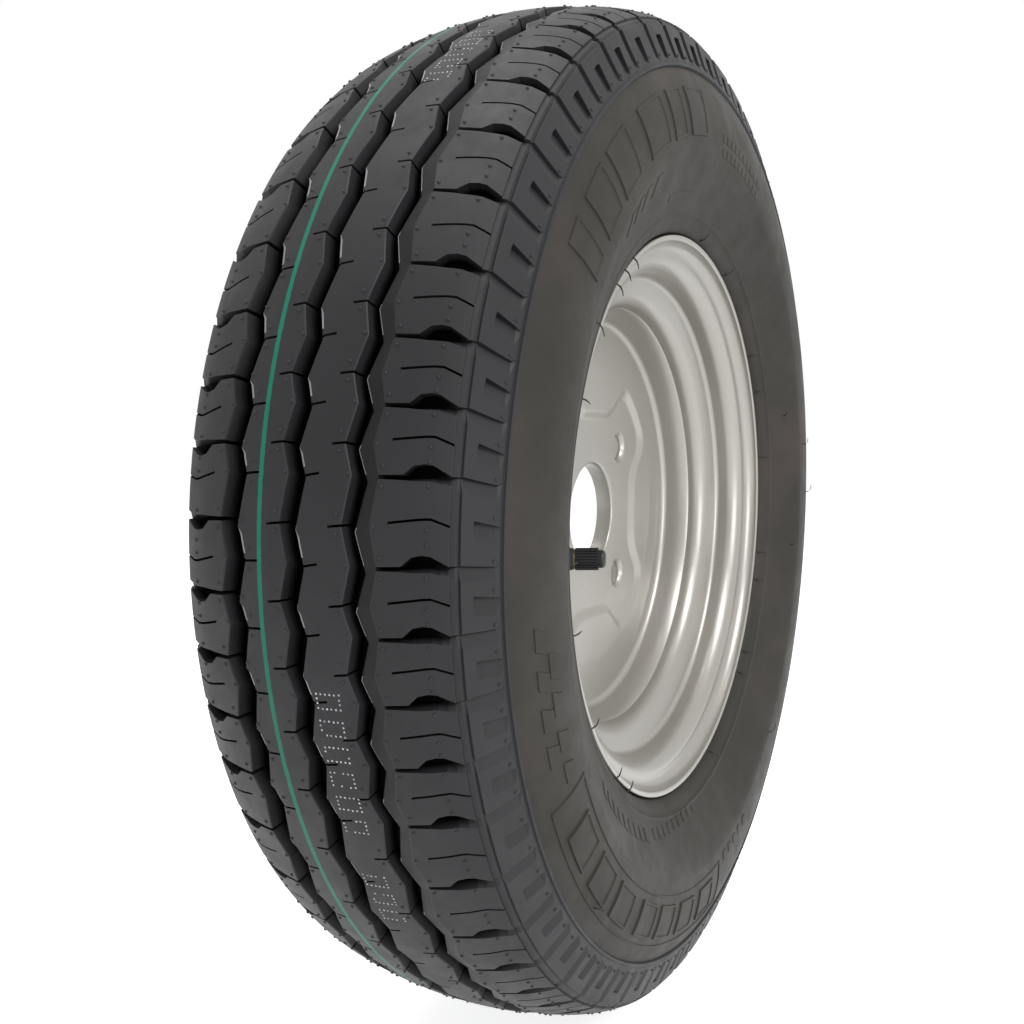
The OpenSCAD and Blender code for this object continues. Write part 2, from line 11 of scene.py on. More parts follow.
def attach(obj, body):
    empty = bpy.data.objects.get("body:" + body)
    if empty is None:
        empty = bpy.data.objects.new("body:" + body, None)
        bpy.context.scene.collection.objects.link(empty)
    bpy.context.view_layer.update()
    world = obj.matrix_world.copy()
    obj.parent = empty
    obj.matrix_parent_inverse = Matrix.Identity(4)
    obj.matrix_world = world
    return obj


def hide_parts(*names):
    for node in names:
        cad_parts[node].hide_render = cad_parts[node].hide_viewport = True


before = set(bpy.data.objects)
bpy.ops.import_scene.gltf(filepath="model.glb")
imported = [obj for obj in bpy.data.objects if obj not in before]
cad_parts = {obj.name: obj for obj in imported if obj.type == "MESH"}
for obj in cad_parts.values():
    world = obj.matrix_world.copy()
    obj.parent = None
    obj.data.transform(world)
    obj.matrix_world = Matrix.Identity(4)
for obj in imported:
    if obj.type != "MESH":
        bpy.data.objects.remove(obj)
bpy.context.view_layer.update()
MM = 0.001
FULL_TURN = 2 * math.pi
RNG = random.Random(11)

# Helpers


def wheel_points(r, w, theta):
    """Row-frame points, in metres, from a radius, a distance outboard and an angle in radians."""
    return np.stack([r * np.cos(theta), -w + 0 * theta, r * np.sin(theta)], -1) * MM


def new_object(name, verts, faces, smooth_angle=None):
    mesh = bpy.data.meshes.new(name)
    mesh.from_pydata([tuple(v) for v in np.asarray(verts, float).reshape(-1, 3)], [], faces)
    mesh.update()
    obj = bpy.data.objects.new(name, mesh)
    bpy.context.scene.collection.objects.link(obj)
    if smooth_angle is not None:
        smooth(obj, smooth_angle)
    return obj


def smooth(obj, angle):
    mesh = obj.data
    mesh.polygons.foreach_set("use_smooth", [True] * len(mesh.polygons))
    mesh.set_sharp_from_angle(angle=math.radians(angle))
    mesh.update()


def grid_faces(rows, cols, wrap_rows, wrap_cols=False):
    """Quads over a rows x cols grid of vertices."""
    j = np.arange(rows if wrap_rows else rows - 1)
    i = np.arange(cols if wrap_cols else cols - 1)
    jj, ii = np.meshgrid(j, i, indexing="ij")
    j2 = (jj + 1) % rows
    i2 = (ii + 1) % cols
    q = np.stack([jj * cols + ii, j2 * cols + ii, j2 * cols + i2, jj * cols + i2], -1)
    return q.reshape(-1, 4).tolist()


def around(steps):
    """Angles of equal steps around a full turn."""
    return np.linspace(0, FULL_TURN, steps, endpoint=False)


def lathe(name, profile, steps, angle, closed=False):
    """Solid of revolution about the wheel's axis from [radius, outboard] points."""
    r, w = np.array(profile, float).T
    v = wheel_points(r, w, around(steps)[:, None] + 0 * r)
    return new_object(name, v, grid_faces(steps, len(r), True, closed), angle)


def outward(obj):
    bm = bmesh.new()
    bm.from_mesh(obj.data)
    bmesh.ops.recalc_face_normals(bm, faces=bm.faces)
    bm.to_mesh(obj.data)
    bm.free()


def subtract(obj, cutter):
    mod = obj.modifiers.new("cut", "BOOLEAN")
    mod.operation = "DIFFERENCE"
    mod.solver = "EXACT"
    mod.object = cutter
    bpy.context.view_layer.update()
    deps = bpy.context.evaluated_depsgraph_get()
    mesh = bpy.data.meshes.new_from_object(obj.evaluated_get(deps))
    obj.modifiers.remove(mod)
    old = obj.data
    obj.data = mesh
    bpy.data.meshes.remove(old)
    bpy.data.objects.remove(cutter)


# Tyre section, with the sizes of part.scad in mm
TYRE_R, CROWN_R, HALF_CROWN, SHOULDER_R, HALF_TREAD = 246.0, 175.0, 41.0, 54.3, 57.2
BAND_RUN = (-19.7, 7.1)
LEAN = math.asin(HALF_CROWN / CROWN_R)
CROWN_S = CROWN_R * LEAN
CROWN_HUB = np.array([TYRE_R - CROWN_R, 0])
SHOULDER_HUB = CROWN_HUB + (CROWN_R - SHOULDER_R) * np.array([math.cos(LEAN), math.sin(LEAN)])
EDGE_A = math.asin((HALF_TREAD - SHOULDER_HUB[1]) / SHOULDER_R)
EDGE_S = CROWN_S + SHOULDER_R * (EDGE_A - LEAN)
EDGE_N = np.array([math.cos(EDGE_A), math.sin(EDGE_A)])
EDGE = SHOULDER_HUB + SHOULDER_R * EDGE_N
BAND = np.array(BAND_RUN) / math.hypot(*BAND_RUN)
BAND_N = np.array([BAND[1], -BAND[0]])
# Within this arc length of the edge, points go down between the directions of shoulder and band
ON_EDGE = 0.01


def section(s, d):
    """Radius and distance outboard at arc length s over the tread and band, d below the surface."""
    s = np.asarray(s, float)
    side = np.where(s < 0, -1.0, 1.0)
    a = np.abs(s)[..., None]
    mid = np.minimum(a, CROWN_S) / CROWN_R
    out = LEAN + np.clip(a - CROWN_S, 0, EDGE_S - CROWN_S) / SHOULDER_R
    n_mid = np.concatenate([np.cos(mid), np.sin(mid)], -1)
    n_out = np.concatenate([np.cos(out), np.sin(out)], -1)
    on_crown, on_shoulder = CROWN_HUB + CROWN_R * n_mid, SHOULDER_HUB + SHOULDER_R * n_out
    base = np.where(a < CROWN_S, on_crown, on_shoulder)
    base = np.where(a < EDGE_S, base, EDGE + (a - EDGE_S) * BAND)
    n = np.where(a < CROWN_S, n_mid, np.where(a < EDGE_S, n_out, BAND_N))
    n_edge = (EDGE_N + BAND_N) / (1 + EDGE_N @ BAND_N)
    n = np.where(np.abs(a - EDGE_S) < ON_EDGE, n_edge, n)
    p = base - np.asarray(d, float)[..., None] * n
    return p[..., 0], p[..., 1] * side


# Tread pitches of three lengths, counted in degrees from a corner that points outboard

KINDS = [5.55, 6.25, 7.05]
ORDER = [2, 2, 3, 3, 3, 2, 1, 1, 3, 1, 1, 1, 1, 3, 3, 2, 2, 1, 1, 2, 3, 2, 1, 1, 2, 3, 3, 1, 2,
         1, 2, 3, 2, 2, 1, 3, 1, 2, 1, 1, 3, 2, 1, 3, 2, 1, 2, 3, 1, 2, 3, 3, 2, 1, 1, 2, 3, 1]
LENS = [KINDS[k - 1] for k in ORDER]
LENS = np.array(LENS) * 360 / sum(LENS)
FIRST_CORNER = 122.7
STARTS = FIRST_CORNER + np.concatenate([[0], np.cumsum(LENS)])
IN_SHARE = 0.555
CORNERS = np.empty(2 * len(ORDER))
CORNERS[0::2] = STARTS[:-1]
CORNERS[1::2] = STARTS[:-1] + IN_SHARE * LENS
CORNERS = np.radians(CORNERS)
# Lengths around the tread, in mm, are taken at this radius
U_R = 243.0
# How far the right side of a groove lies below its left side, and the ramp at a corner
RIGHT_DROP = 2.1
CORNER_RAMP = 0.8


def corners_around(drop):
    """Corner angles lowered by a drop, over three turns, so that every angle lies between two."""
    c = CORNERS + drop / U_R
    return np.concatenate([c - FULL_TURN, c, c + FULL_TURN])


def zigzag(theta, drop):
    """1 at the corners that point outboard, 0 at those that point inboard."""
    c = corners_around(drop)
    return np.interp(theta, c, np.tile([1.0, 0.0], len(c) // 2))


def going_out(theta, drop):
    """1 where the zigzag runs outboard with growing angle, with short ramps at the corners."""
    c = corners_around(drop)
    k = np.searchsorted(c, theta) - 1
    lo, hi = (c[np.clip(k + e, 0, len(c) - 1)] for e in (0, 1))
    near = np.minimum(theta - lo, hi - theta) * U_R
    return np.where(k % 2 == 1, np.clip(near / CORNER_RAMP, 0, 1), 0.0)


# Cross features give, for the rows at a corner, the height above the corner and the depth

ROWS = 7
TOP_ROW = 2.2
PLAIN_U = np.array([TOP_ROW, 0.9, 0.42, 0, -0.42, -0.9, -RIGHT_DROP])
SLIT_HALF, SLIT_SIDE = 0.4, 0.04
RIB_SLIT_DEPTH, SHOULDER_SLIT_DEPTH = 4.5, 4.0


def plain():
    return PLAIN_U, np.zeros(ROWS)


def slit(c, depth):
    """A narrow cut with steep sides, its middle c above the corner."""
    u = np.array([max(TOP_ROW, c + 1), c + SLIT_HALF + SLIT_SIDE, c + SLIT_HALF - SLIT_SIDE, c,
                  c - SLIT_HALF + SLIT_SIDE, c - SLIT_HALF - SLIT_SIDE, min(-RIGHT_DROP, c - 1.4)])
    return u, np.array([0, 0, depth, depth, depth, 0, 0])


def wide_cut(up, low, slope, depth):
    """A cut between two heights, steep on its upper side and sloped on its lower one."""
    u = np.array([up + 1.3, up, up - 0.25, (up + low) / 2, low, low - slope, low - slope - 1.0])
    return u, np.array([0, 0, depth, depth, depth * 0.85, 0, 0])


# The shoulder slot: arc length, upper edge, lower edge, slope and depth
SLOT_TABLE = np.array([
    (31.4, 0.4, -0.6, 0.3, 6.6), (40.8, 0.8, -0.4, 0.6, 6.0), (44.3, 3.9, 0.0, 1.2, 5.6),
    (47.75, 4.6, 0.4, 1.5, 5.2), (50.7, 4.3, 0.6, 1.7, 4.6), (56.8, 1.0, 0.3, 2.8, 2.6),
    (61.05, 1.2, 0.6, 4.6, 1.5), (71.8, 0.1, -0.5, 5.3, 1.3), (76.6, -0.3, -0.9, 5.0, 0.9)])
# The recessed strip: where it starts, its upper edge and depth there, and how both shrink
RECESS_S, RECESS_UP, RECESS_DEPTH = 66.2, 3.1, 2.1
RECESS_UP_FALL, RECESS_DEPTH_FALL = 0.18, 0.09
# Where the slots, the shoulder blocks, the recesses and all cross features start or end
SLOT_FIRST, BLOCK_S, RECESS_FIRST, FEATURES_END = 32.6, 56.85, 66.0, 77.4
SHOULDER_OUT, SHOULDER_IN = 31, -30
# Each shoulder's slit: where it starts, and its heights at four arc lengths
SLIT_OUT = (36.2, [1.6, 3.1, 3.2, 1.0])
SLIT_IN = (38.2, [0.2, 2.3, 2.6, 1.2])
# Rib slits: kind of corner, first and last arc length, and heights at two arc lengths
RIB_SLITS = (
    (0, -24.5, -14.9, (-21.3, -14.9), (-0.3, 0.1)),
    (0, 3.0, 10.6, (5.1, 10.6), (-0.6, 0.3)),
    (1, -10.6, -3.0, (-10.6, -5.2), (-0.5, 0.1)),
    (1, 14.6, 21.8, (14.6, 19.7), (-0.5, 0.1)))


def slot_at(s):
    return wide_cut(*(np.interp(s, SLOT_TABLE[:, 0], SLOT_TABLE[:, k]) for k in (1, 2, 3, 4)))


def recess_at(s):
    up = RECESS_UP - (s - RECESS_S) * RECESS_UP_FALL
    deep = RECESS_DEPTH - (s - RECESS_S) * RECESS_DEPTH_FALL
    u = np.array([up + 1.3, up, up - 0.15, up - 2.2, up - 4.4, up - 6.9, up - 8.0])
    return u, np.array([0, 0, 1, 0.75, 0.45, 0, 0]) * deep


def shoulder_cross(s, kind, first, heights):
    """Features of the outboard shoulder and band. kind 0 is a corner that points outboard."""
    if kind == 0:
        return slot_at(s) if s > SLOT_FIRST else plain()
    if first <= s <= BLOCK_S:
        return slit(np.interp(s, [first, 47.75, 50.7, BLOCK_S], heights), SHOULDER_SLIT_DEPTH)
    if s >= RECESS_FIRST:
        return recess_at(s)
    return plain()


def rib_cross(s, kind):
    for at, first, last, lengths, heights in RIB_SLITS:
        if kind == at and first <= s <= last:
            return slit(np.interp(s, lengths, heights), RIB_SLIT_DEPTH)
    return plain()


def cross(s, kind):
    """Features at an arc length. The inboard shoulder is the outboard one turned half around."""
    if abs(s) > FEATURES_END:
        return plain()
    if s >= SHOULDER_OUT:
        return shoulder_cross(s, kind, *SLIT_OUT)
    if s <= SHOULDER_IN:
        u, d = shoulder_cross(-s, 1 - kind, *SLIT_IN)
        return -u[::-1], d[::-1]
    return rib_cross(s, kind)


# Columns: (arc length at inboard corners, at outboard corners, zigzag drop, depth, chamfer width)

GROOVE_DEPTH, GROOVE_DRAFT, BEVEL_DEPTH = 7.0, 1.2, 1.45


def groove(left_in, left_out, right_in, right_out, chamfer):
    """Columns across a zigzag groove with a chamfer along parts of its right side."""
    return [
        (left_in - 0.45, left_out - 0.45, 0, 0, 0),
        (left_in, left_out, 0, 0.3, 0),
        (left_in + GROOVE_DRAFT, left_out + GROOVE_DRAFT, 0.4, GROOVE_DEPTH, 0),
        (right_in - GROOVE_DRAFT, right_out - GROOVE_DRAFT, RIGHT_DROP, GROOVE_DEPTH, 0),
        (right_in, right_out, RIGHT_DROP, 0.35, chamfer * 0.4),
        (right_in + 0.35, right_out + 0.35, RIGHT_DROP, 0, chamfer)]


def flat(*lengths):
    return [(s, s, 0, 0, 0) for s in lengths]


COLUMNS = (
    flat(-54, -50.7, -47.75, -44.3, -40.8, -38.25, -38.15, -36)
    + groove(-33.8, -30.4, -24.65, -21.25, 1.5)
    + flat(-18.2, -14.95, -14.85, -12.8, -10.65, -10.55, -8.2)
    + groove(-5.25, -1.9, 1.85, 5.15, 0.8)
    + flat(7.6, 10.55, 10.65, 12.6, 14.55, 14.65, 16.9)
    + [(19.25, 22.45, 0, 0, 0), (19.7, 22.9, 0, 0.3, 0), (20.9, 24.1, 0.4, GROOVE_DEPTH, 0),
       (22.8, 26.8, RIGHT_DROP, GROOVE_DEPTH, 0), (24.0, 28.0, RIGHT_DROP, 1.75, 0),
       (24.4, 28.4, RIGHT_DROP, BEVEL_DEPTH, 0), (29.8, 32.4, 0, 0.15, 0), (30.3, 32.95, 0, 0, 0)]
    + flat(36.15, 36.25, 40.8, 44.3, 47.75, 50.7, 54))
# Arc lengths and depths over the edge and the band, the same on both sides
BAND_END = (80.4, 0.9)
EDGE_COLUMNS = [
    (56.6, 0.0), (56.8, 0.12), (56.9, 0.9), (EDGE_S, 0.9), (60.75, 0.9), (60.9, 0.12), (61.05, 0.0),
    (62.0, 0.0), (65.9, 0.0), (66.2, 0.0), (69.0, 0.0), (72.5, 0.0), (76.0, 0.0), (77.5, 0.0),
    (78.4, 0.25), (78.8, 0.25), (79.1, -0.35), (79.7, -0.4), (80.2, -0.1), BAND_END]
BETWEEN = 3
PER_CORNER = ROWS + BETWEEN


def edge_columns(pairs, side):
    return [(side * s, side * s, 0, d, 0) for s, d in pairs]


def tread_grid(columns):
    """Angle, arc length and depth at every row and column."""
    n = len(CORNERS)
    th = np.zeros((n * PER_CORNER, len(columns)))
    s = np.zeros_like(th)
    d = np.zeros_like(th)
    following = np.roll(CORNERS, -1)
    following[-1] += FULL_TURN
    for i, (s_in, s_out, drop, depth, chamfer) in enumerate(columns):
        feats = [cross((s_out, s_in)[kind], kind) for kind in (0, 1)]
        for k in range(n):
            u, f = feats[k % 2]
            u_next = feats[(k + 1) % 2][0]
            a = CORNERS[k] - u / U_R
            b = following[k] - u_next[0] / U_R
            fill = a[-1] + (b - a[-1]) * np.arange(1, BETWEEN + 1) / (BETWEEN + 1)
            at = slice(k * PER_CORNER, k * PER_CORNER + ROWS)
            rest = slice(at.stop, (k + 1) * PER_CORNER)
            th[at, i] = a
            th[rest, i] = fill
            d[at, i] = np.maximum(f, depth) if depth >= 0 else np.where(f > 0, f, depth)
            d[rest, i] = depth
        s[:, i] = s_in + (s_out - s_in) * zigzag(th[:, i], drop)
        if chamfer:
            g = going_out(th[:, i], drop)
            if depth > 0:
                d[:, i] = np.maximum(d[:, i], depth + g * chamfer)
            else:
                s[:, i] += g * chamfer
    return th, s, d


# Arc length where the band's painted shade starts, the depths at which the painted shade in the
# grooves is full on the tread and on
# # the band, and the darkest painted shade that the band gets
TREAD_END, TREAD_DARK, BAND_DARK, BAND_DARKEST = 58.5, 4.2, 3.4, 0.56
# A facet of a groove's right side that takes the painted highlight has a depth between two limits
# and is narrower than this
FACET_SHALLOW, FACET_DEEP, FACET_WIDE = 0.2, 2, 1
TREAD_SMOOTH = 11


def tread_piece(name, columns):
    """A strip of the tread or band, and the angles of its grid."""
    th, s, d = tread_grid(columns)
    r, w = section(s, d)
    obj = new_object(name, wheel_points(r, w, th), grid_faces(*th.shape, True), TREAD_SMOOTH)
    # The deep attribute is the share of painted shade, growing with depth below the surface
    deep = obj.data.attributes.new("deep", "FLOAT", "POINT")
    on_tread, on_band = np.clip(d / TREAD_DARK, 0, 1), np.clip(d / BAND_DARK, 0, BAND_DARKEST)
    groove_shade = np.where(np.abs(s) < TREAD_END, on_tread, on_band)
    deep.data.foreach_set("value", groove_shade.astype(np.float32).ravel())
    return obj, th


def painted_light_faces(columns, th):
    """Material index of each face: 1, painted highlight, on right edges that run outboard, 2,
    painted shade, on the bevel, else 0.
    """
    out = going_out(th, 0.0) > 0.5
    lit = np.zeros((th.shape[0], th.shape[1] - 1), int)
    for i, (here, after) in enumerate(zip(columns, columns[1:])):
        if here[2] != RIGHT_DROP:
            continue
        if FACET_SHALLOW < here[3] < FACET_DEEP and after[0] - here[0] < FACET_WIDE:
            lit[:, i] = out[:, i] & np.roll(out[:, i], -1)
        if here[3] == BEVEL_DEPTH:
            lit[:, i] = 2
    return lit.ravel()


MIDDLE = edge_columns(EDGE_COLUMNS[3::-1], -1) + COLUMNS + edge_columns(EDGE_COLUMNS[:4], 1)
tread, tread_th = tread_piece("tyre_tread", MIDDLE)
band_out, _ = tread_piece("tyre_band_outboard", edge_columns(EDGE_COLUMNS[3:], 1))
band_in, _ = tread_piece("tyre_band_inboard", edge_columns(EDGE_COLUMNS[:2:-1], -1))

# Sidewalls and beads


def arc(c, r, a0, a1, n):
    a = np.radians(np.linspace(a0, a1, n + 1))
    return [(c[0] + r * math.cos(x), c[1] + r * math.sin(x)) for x in a]


def bend(corner, radius, a0, a1, n, under):
    """Points of a bend in a rolled sheet, as in part.scad, with corner as (radius, outboard)."""
    t = radius * math.tan(math.radians((a1 - a0) / 2))
    r0, r1 = math.sin(math.radians(a0)), math.cos(math.radians(a0))
    c = (corner[0] - t * r0 + radius * r1, corner[1] - t * r1 - radius * r0)
    out = []
    for i in range(n + 1):
        a = math.radians(a0 + (a1 - a0) * i / n)
        out.append((c[0] - (radius + under) * math.cos(a), c[1] + (radius + under) * math.sin(a)))
    return out


RIM_T = 2.6
CLIMB = 73.0
WELL_HALF, RIM_HALF, CURL_R = 25.5, 42.25, 9
WELL_CORNER = (110.1, WELL_HALF - RIM_T * math.tan(math.radians(CLIMB / 2)))
HUMP_CORNER = (125.377, 28.27)
SEAT_CORNER = (126.6, RIM_HALF)
CURL_CORNER = (131.9 + CURL_R * math.tan(math.radians(47.5)), RIM_HALF)
CURL = (CURL_CORNER, -CURL_R, 90, -5, 24)
BEAD_GAP = 0.05


def rim_side(under):
    """The rim's section on its outboard side, from the well to the curl."""
    return (bend(WELL_CORNER, 6, 0, CLIMB, 15, under) + bend(HUMP_CORNER, -6, CLIMB, 5, 15, under)
            + bend(SEAT_CORNER, 6.5, 5, 90, 15, under) + bend(*CURL, under))


def sidewall_profile():
    """The outboard wall from the band's end to the bead's toe. The bead lies against the curl."""
    p = [tuple(EDGE + (BAND_END[0] - EDGE_S) * BAND - BAND_END[1] * BAND_N)]
    p += arc((185, 4.4), 66, 66.5, 90, 30)
    p += arc((185, 8.4), 62, 91, 97, 8)
    p += [(174, 68.5), (170, 66.7), (166, 64.8), (162, 62.9), (158, 61.0), (154, 59.1),
          (151, 57.7), (150.4, 57.8), (149.6, 57.6), (149, 56.8), (146.5, 55.6), (144, 54.4),
          (142.6, 52.8), (141.6, 50.8), (140.9, 48.4)]
    p += [(a + BEAD_GAP, b - BEAD_GAP) for a, b in bend(*CURL, 0)[15::-3]]
    p += [(126.6, 36.3), (125.7, 32.4), (128.5, 32.1)]
    return p


WALL_SMOOTH = 30
SIDE = sidewall_profile()
sidewall_out = lathe("tyre_sidewall_outboard", SIDE, 720, WALL_SMOOTH)
sidewall_in = lathe("tyre_sidewall_inboard", [(a, -b) for a, b in SIDE], 480, WALL_SMOOTH)
sidewall_in.data.flip_normals()

# Raised plain marks, placed by the length down the outboard wall and the angle above the middle

SIDE_P = np.array(SIDE)
SIDE_L = np.concatenate([[0], np.cumsum(np.hypot(*np.diff(SIDE_P, axis=0).T))])
# Height of a block's foot, and how far from its edge the foot and the raised rim reach
FOOT_HEIGHT, FOOT_REACH, RIM_REACH = -0.2, 0.15, 1.45
# Smallest size of a block with a rim, and the share of the height that lies inside a rim
RIMMED_SIZE, INSIDE_SHARE = 6, 0.35


def wall(l, lift):
    """Radius and distance outboard at a length l down the wall, lifted off it."""
    at = [np.interp(l + e, SIDE_L, SIDE_P[:, k]) for e in (-0.5, 0, 0.5) for k in (0, 1)]
    dr, dw = at[4] - at[0], at[5] - at[1]
    size = np.hypot(dr, dw)
    return at[2] + lift * dw / size, at[3] - lift * dr / size


def steps_across(size, rimmed, spacing):
    """Places across a block: a sloped edge, a raised rim if it has one, and a plain middle."""
    a = [0, 0.3] + ([1.3, 1.6] if rimmed else [])
    mid = np.linspace(a[-1], size - a[-1], max(2, int(size / spacing)) + 1)[1:-1]
    return np.array(a + list(mid) + [size - v for v in a[::-1]])


def raised(verts, faces, l0, l1, phi0, phi1, high, rimmed=True, lean=0.0):
    """Adds one block; lean shifts it by that many degrees from its outer edge to its inner one."""
    r_mid = float(wall((l0 + l1) / 2, 0)[0])
    long, wide = l1 - l0, (phi1 - phi0) * math.pi / 180 * r_mid
    rimmed = rimmed and min(long, wide) > RIMMED_SIZE
    a = steps_across(long, rimmed, 2.5)[:, None]
    b = steps_across(wide, rimmed, 3.0)[None, :]
    edge = np.minimum(np.minimum(a, long - a), np.minimum(b, wide - b))
    top = np.where((edge < RIM_REACH) | (not rimmed), high, high * INSIDE_SHARE)
    h = np.where(edge < FOOT_REACH, FOOT_HEIGHT, top)
    phi = phi0 + (b / wide) * (phi1 - phi0) + lean * (a / long)
    r, w = wall(l0 + a + 0 * b, h)
    base = sum(len(v) for v in verts)
    verts.append(wheel_points(r, w, math.pi - np.radians(phi)).reshape(-1, 3))
    faces += [[base + k for k in q] for q in grid_faces(a.size, b.size, False)]


verts, faces = [], []
for mid, wide in ((34, 4), (41.5, 6), (49.5, 6.5), (61, 8), (69.5, 5), (77.5, 7)):
    raised(verts, faces, 9, 31, mid - wide / 2, mid + wide / 2, 0.6)
for mid in (49, 52.5, 56, 60.5):
    raised(verts, faces, 40, 49, mid - 1.1, mid + 1.1, 0.4, False, -1.5)
raised(verts, faces, 56, 60, 69.5, 83, 0.3, False)
for k in range(10):
    raised(verts, faces, 32.5, 37, 88.5 + 2.1 * k, 90 + 2.1 * k, 0.3, False)
    raised(verts, faces, 25.5, 30, 88.5 + 2.1 * k, 90 + 2.1 * k, 0.3, False)
for a, b in ((10.4, 13.4), (14.9, 17.9), (19.6, 22.4), (23.7, 26.7)):
    raised(verts, faces, 19.4, 26.4, -b, -a, 0.45, False, -0.9)
for a, b in ((7.3, 9.8), (11.7, 14), (15.9, 18.7), (20.3, 23.2)):
    raised(verts, faces, 12.4, 19.4, -b, -a, 0.45, False, -0.9)
for mid in (36, 44.5, 53, 62.5, 70.5, 79, 88):
    raised(verts, faces, 11.5, 27.5, -mid - 3.1, -mid + 3.1, 0.8)
raised(verts, faces, 7.6, 8.8, -95, -28, 0.45, False)
raised(verts, faces, 30.6, 31.8, -95, -28, 0.45, False)
for end in (-28.6, -95):
    raised(verts, faces, 8.4, 31, end, end + 0.5, 0.45, False)
for k in range(9):
    raised(verts, faces, 49 + 0.7 * k, 56 + 0.7 * k, -40.8 - 3 * k, -39 - 3 * k, 0.4, False)
    raised(verts, faces, 57 + 0.8 * k, 63 + 0.8 * k, -69.6 - 2.9 * k, -68 - 2.9 * k, 0.35, False)
for k in range(5):
    raised(verts, faces, 28.5, 33.5, -98.4 - 2.8 * k, -97 - 2.8 * k, 0.35, False)
marks = new_object("tyre_wall_marks", np.concatenate(verts), faces, 20)
outward(marks)

# Vent stubs, moulding pips and painted dots


def domes(name, spots, radius, high, sides=8):
    """Low domes at (arc length, angle) over the tread or band."""
    verts, faces = [], []
    turn = around(sides)
    for k, (s, th) in enumerate(spots):
        (r0, r1), (w0, w1) = section([s, s], [0, 1])
        n = np.array([r0 - r1, w0 - w1])
        e = np.array([-n[1], n[0]])
        b = k * (3 * sides + 1)
        for share, lift in ((1, -0.1), (0.85, 0.55), (0.5, 0.92)):
            off = radius * share * np.cos(turn)
            r = r0 + e[0] * off + n[0] * high * lift
            w = w0 + e[1] * off + n[1] * high * lift
            verts.append(wheel_points(r, w, th + radius * share * np.sin(turn) / r0))
        tip = np.array([[r0 + n[0] * high], [w0 + n[1] * high], [th]])
        verts.append(wheel_points(*tip))
        for ring in (b, b + sides):
            for i in range(sides):
                j = (i + 1) % sides
                faces.append([ring + i, ring + j, ring + sides + j, ring + sides + i])
        last = b + 2 * sides
        faces += [[last + i, last + (i + 1) % sides, last + sides] for i in range(sides)]
    obj = new_object(name, np.concatenate(verts), faces, 50)
    outward(obj)
    return obj


# Pips at (arc length, height below the corner), for both kinds of corner
PIPS = (
    ((49.4, -2.6), (33.6, 3.3), (33.6, -3.3), (-3.4, 0.6), (21.4, 0.6), (-31.9, 0.6),
     (-19.6, 4), (-19.6, -3), (75.2, 1.6), (-49.4, 0.3), (-49.4, 5.1)),
    ((49.4, -0.3), (49.4, -5.1), (31.2, 0), (-7.2, 3.7), (-7.2, -2.7), (17.7, 3.7),
     (17.7, -2.7), (-35.8, 3.7), (-35.8, -2.7), (-23.1, 0), (75.2, 4.0), (-49.4, 2.6)))
spots = [(s, corner - u / U_R) for k, corner in enumerate(CORNERS) for s, u in PIPS[k % 2]]
pips = domes("tyre_pips", spots, 0.75, 0.55)

# A stub's four points: how much thinner it gets and which share of its bow each has
TAPER = (1.0, 1.0, 0.8, 0.5)
BOW_SHARE = (0, 0, 0.1, 0.3)
# Stubs around the bead: angles, largest bow in degrees, radius and path
BEAD_STUBS = (
    ((123.5, 128, 132.5, 157, 184, 196, 215, 231, 238), 1.2, 0.36,
     ((143.5, 53.8), (141.6, 55.2), (139.8, 55.5), (137.6, 55.4))),
    ((-12, 12, 29, 39, -19, -38, -44, 66, 84, -70), 1.0, 0.34,
     ((142.4, 52.6), (143.4, 55.2), (144.6, 56.6), (146, 57.8))))
# Stubs on the wall: length down the wall and angle
WALL_STUBS = ((30, 12), (44, -9), (52, 20), (36, -50), (20, 2), (47, 150), (9, 226))
WALL_STUB_R = 0.28


def tube(verts, faces, path, radius, sides=6):
    """A thin rod through wheel points (radius, outboard, angle in degrees)."""
    p = [wheel_points(np.array(r), np.array(w), np.array(math.radians(a))) for r, w, a in path]
    base = sum(len(v) for v in verts)
    turn = around(sides)[:, None]
    for k, c in enumerate(p):
        d = Vector(p[min(k + 1, len(p) - 1)] - p[max(k - 1, 0)]).normalized()
        x = d.orthogonal().normalized()
        y = d.cross(x)
        size = radius * MM * TAPER[k]
        verts.append(c + size * (np.cos(turn) * np.array(x) + np.sin(turn) * np.array(y)))
    faces += [[base + v for v in q] for q in grid_faces(len(p), sides, False, True)]
    faces += [[first + i for i in range(sides)] for first in (base, base + (len(p) - 1) * sides)]


verts, faces = [], []
for angles, bow_limit, radius, path in BEAD_STUBS:
    for a in angles:
        bow = RNG.uniform(-bow_limit, bow_limit)
        bowed = [(r, w, a + bow * share) for (r, w), share in zip(path, BOW_SHARE)]
        tube(verts, faces, bowed, radius)
for l, a in WALL_STUBS:
    (r, w), (r2, w2) = wall(l, -0.5), wall(l + 1.5, 3.2)
    bowed = [(r, w, a), ((r + r2) / 2, (w + w2) / 2, a), (r2, w2, a + 0.6),
             (r2 - 1.5, w2 + 0.6, a + 1.4)]
    tube(verts, faces, bowed, WALL_STUB_R)
stubs = new_object("tyre_vent_stubs", np.concatenate(verts), faces, 40)
outward(stubs)

# Dotted frames along the rib: arc lengths, angles in degrees, and the share of missing dots
DOT_FIRST, DOT_LAST, DOT_STEP, DOTS_ACROSS = 6.6, 15.6, 1.8, 6
DOT_ROWS = ((-35, -27), (-24, -10), (45, 58))
FRAME_WIDE, FRAME_STEP, FRAME_END, FRAME_DOTS = 1.25, 2.35, 1.5, (0.42, 0.84)
DOT_SHIFT, DOT_TURN, DOTS_MISSING = 0.12, 0.03, 0.16


